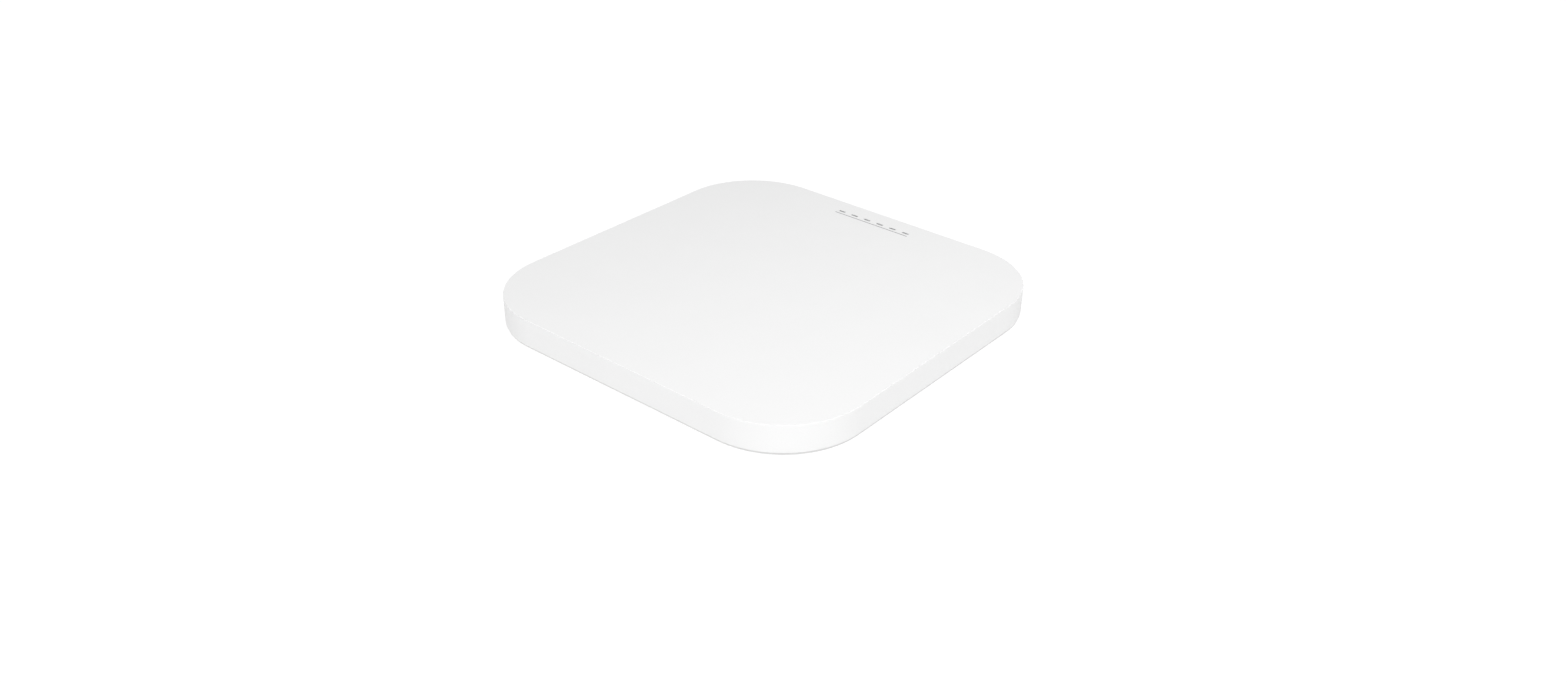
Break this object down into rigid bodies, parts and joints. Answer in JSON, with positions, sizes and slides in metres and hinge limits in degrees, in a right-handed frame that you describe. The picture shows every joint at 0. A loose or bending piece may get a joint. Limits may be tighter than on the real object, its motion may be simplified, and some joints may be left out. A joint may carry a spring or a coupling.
{
  "type": "ceiling access point",
  "caption": "Square white ceiling wireless access point with rounded corners, a row of status windows, a rear cable bay and a twist-lock mounting plate.",
  "frame": {"origin": "centre of the mounting plate's back face, which lies against the ceiling or wall", "axes": "+Z out of the front cover, into the room; +Y towards the edge with the status windows; the cable bay opens towards -Y"},
  "size_m": [0.22, 0.22, 0.0332],
  "materials": {
    "cover_white": "fine-textured satin white moulding",
    "window_clear": "clear polycarbonate light guide, smoked tips",
    "line_grey": "grey moulded insert",
    "bezel_grey": "mid grey moulding",
    "foam_black": "closed-cell foam",
    "housing_coat": "light grey powder coat over die-cast aluminium",
    "steel_liner": "stamped steel",
    "screw_steel": "zinc-plated",
    "ground_brass": "bare brass screw and washer",
    "stud_steel": "turned, nickel-plated",
    "label_silver": "blank polyester label",
    "plate_steel": "pre-galvanised steel sheet",
    "spring_steel": "spring steel",
    "board_green": "solder mask over glass-epoxy board",
    "chip_black": "moulded epoxy package",
    "pad_grey": "silicone thermal pad",
    "passive_tan": "ceramic capacitor",
    "crystal_can": "seam-welded lid",
    "can_tin": "bright tinplate",
    "jack_shell_metal": "nickel-plated shell",
    "jack_black": "glass-filled nylon",
    "contact_gold": "gold-plated",
    "button_red": "moulded plunger",
    "led_white": "LED package",
    "ferrite": "ferrite core",
    "winding_tape": "polyester tape over the winding",
    "bobbin": "phenolic bobbin base",
    "capacitor_can": "drawn can",
    "coax_jacket": "FEP coax jacket"
  },
  "bodies": {
    "housing": {"front_cover": "cover_white", "accent_line": "line_grey", "light_pipe": "window_clear", "socket_bezel": "bezel_grey", "light_blocker": "foam_black", "rear_housing": "housing_coat", "lock_slot_insert": "steel_liner", "cover_screws": "screw_steel", "board_screws": "screw_steel", "ground_screw": "ground_brass", "mounting_studs": "stud_steel", "rear_label": "label_silver", "main_board": "board_green", "processor": "chip_black", "radio_chips": "chip_black", "thermal_pads": "pad_grey", "memory_chips": "chip_black", "flash_chips": "chip_black", "amplifiers": "chip_black", "crystals": "crystal_can", "small_passives": "passive_tan", "shield_frames": "can_tin", "shield_lids": "can_tin", "jack_shells": "jack_shell_metal", "jack_bodies": "jack_black", "jack_contacts": "contact_gold", "power_jack": "jack_black", "power_pin": "contact_gold", "reset_switch": "jack_black", "status_leds": "led_white", "network_transformers": "chip_black", "power_transformer": "ferrite", "power_winding": "winding_tape", "power_bobbin": "bobbin", "inductors": "ferrite", "capacitors": "capacitor_can", "antennas_low_band": "can_tin", "antennas_high_band": "can_tin", "scan_antenna": "can_tin", "scan_cable": "coax_jacket", "coax_plugs": "contact_gold", "ground_foams": "foam_black"},
    "plate": {"mounting_plate": "plate_steel", "detent_spring": "spring_steel", "spring_rivets": "stud_steel"},
    "button": {"reset_button": "button_red"}
  },
  "joints": [
    {"name": "plate_twist", "type": "hinge", "parent": "housing", "child": "plate", "pos_m": [0, 0, 0], "axis": [0, 0, 1], "range_deg": [0, 16]},
    {"name": "reset_press", "type": "slide", "parent": "housing", "child": "button", "axis": [0, 1, 0], "range_m": [0, 0.0005], "stiffness_N_per_m": 1500, "springref_m": -0.0002}
  ]
}
